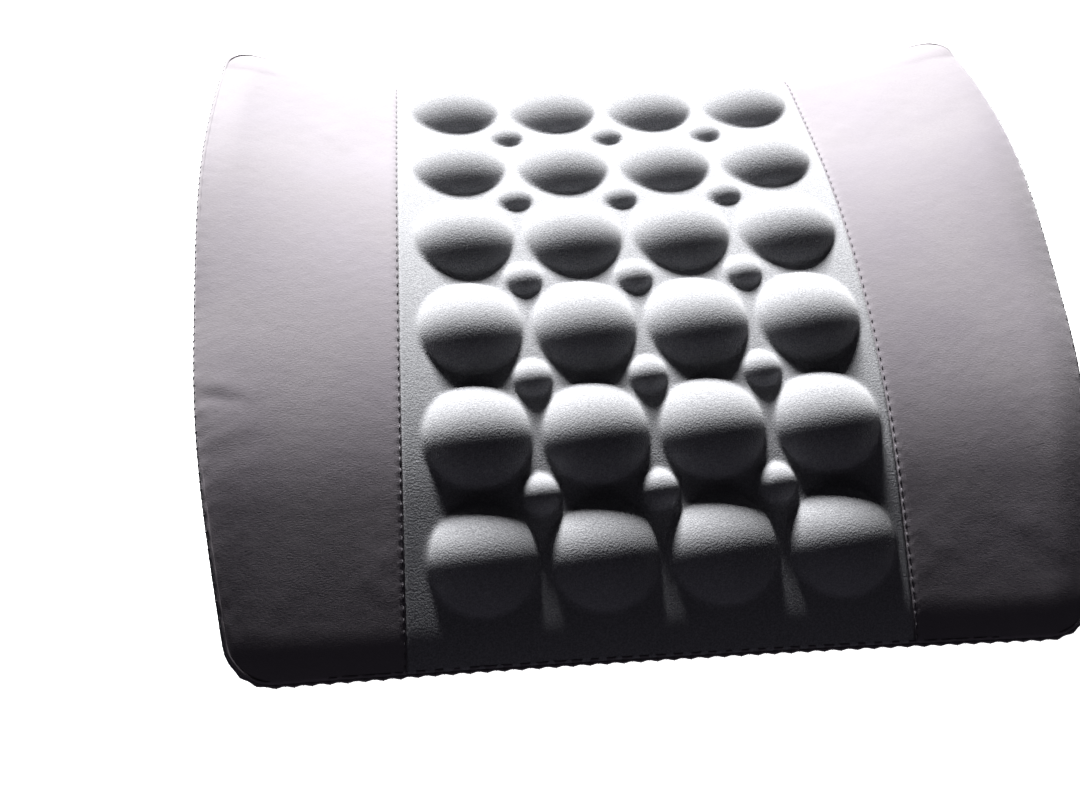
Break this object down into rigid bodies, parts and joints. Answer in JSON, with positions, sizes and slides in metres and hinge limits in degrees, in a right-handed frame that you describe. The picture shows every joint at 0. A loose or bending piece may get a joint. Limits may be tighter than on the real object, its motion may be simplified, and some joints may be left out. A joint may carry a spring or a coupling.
{
  "type": "lumbar support cushion",
  "caption": "Arched lumbar back cushion with a padded dome massage panel between smooth side wings, a zipped cover and an elastic chair strap with a side-release buckle.",
  "frame": {"origin": "on the floor under the middle of the cushion's outline, with the cushion lying on its flat back", "axes": "+X across the seat to the cushion's right as seen from above, +Y towards its top edge, +Z out of the padded front"},
  "size_m": [0.3866, 0.3251, 0.0952],
  "materials": {
    "knit_centre": "matte fine knit bonded to foam",
    "cloth_side": "matte brushed smooth cloth",
    "cloth_back": "matte woven backing cloth",
    "foam": "open-cell foam",
    "foam_dome": "firm moulded foam",
    "liner": "non-woven scrim",
    "zip_tape": "herringbone tape",
    "zip_coil": "nylon coil",
    "zip_metal": "satin enamel on die-cast zinc",
    "webbing": "ribbed elastic webbing",
    "buckle_plastic": "fine-textured moulded acetal"
  },
  "bodies": {
    "cushion": {"front_centre_panel": "knit_centre", "side_panel_left": "cloth_side", "side_panel_right": "cloth_side", "wall_panel_left": "cloth_side", "wall_panel_right": "cloth_side", "wall_panel_top": "cloth_side", "wall_panel_bottom": "cloth_side", "back_panel_upper": "cloth_back", "back_panel_lower": "cloth_back", "strap_channel_panel": "cloth_back", "foam_core": "foam", "dome_backing_sheet": "foam", "large_dome_row_1": "foam_dome", "large_dome_row_2": "foam_dome", "large_dome_row_3": "foam_dome", "large_dome_row_4": "foam_dome", "large_dome_row_5": "foam_dome", "large_dome_row_6": "foam_dome", "small_dome_row_1": "foam_dome", "small_dome_row_2": "foam_dome", "small_dome_row_3": "foam_dome", "small_dome_row_4": "foam_dome", "small_dome_row_5": "foam_dome", "core_liner": "liner", "zip_tape_upper": "zip_tape", "zip_tape_lower": "zip_tape", "zip_coil_upper": "zip_coil", "zip_coil_lower": "zip_coil", "zip_stop_closed": "zip_metal", "zip_stop_open": "zip_metal", "strap_webbing_left": "webbing", "strap_webbing_right": "webbing", "strap_anchor_left": "webbing", "strap_anchor_right": "webbing", "buckle_socket": "buckle_plastic", "buckle_plug": "buckle_plastic"},
    "zip_slider": {"zip_slider": "zip_metal"},
    "zip_puller": {"zip_puller": "zip_metal"},
    "buckle_prong_upper": {"buckle_prong_upper": "buckle_plastic"},
    "buckle_prong_lower": {"buckle_prong_lower": "buckle_plastic"},
    "strap_keeper": {"strap_keeper": "buckle_plastic"}
  },
  "joints": [
    {"name": "zip_slide", "type": "slide", "parent": "cushion", "child": "zip_slider", "axis": [1, 0, 0], "range_m": [-0.198, 0]},
    {"name": "zip_puller_hinge", "type": "hinge", "parent": "zip_slider", "child": "zip_puller", "pos_m": [0.099, -0.14606, 0.01982], "axis": [0, -0.5735, 0.8192], "range_deg": [0, 170]},
    {"name": "buckle_squeeze_upper", "type": "hinge", "parent": "cushion", "child": "buckle_prong_upper", "pos_m": [-0.006, 0.01, 0.0075], "axis": [0, 0, 1], "range_deg": [-11, 0], "stiffness_Nm_per_rad": 0.02},
    {"name": "buckle_squeeze_lower", "type": "hinge", "parent": "cushion", "child": "buckle_prong_lower", "pos_m": [-0.006, -0.01, 0.0075], "axis": [0, 0, 1], "range_deg": [0, 11], "stiffness_Nm_per_rad": 0.02},
    {"name": "strap_keeper_slide", "type": "slide", "parent": "cushion", "child": "strap_keeper", "axis": [1, 0, 0], "range_m": [-0.028, 0.03]}
  ],
  "couplings": [
    {"joint": "buckle_squeeze_lower", "follows": "buckle_squeeze_upper", "ratio": -1}
  ]
}
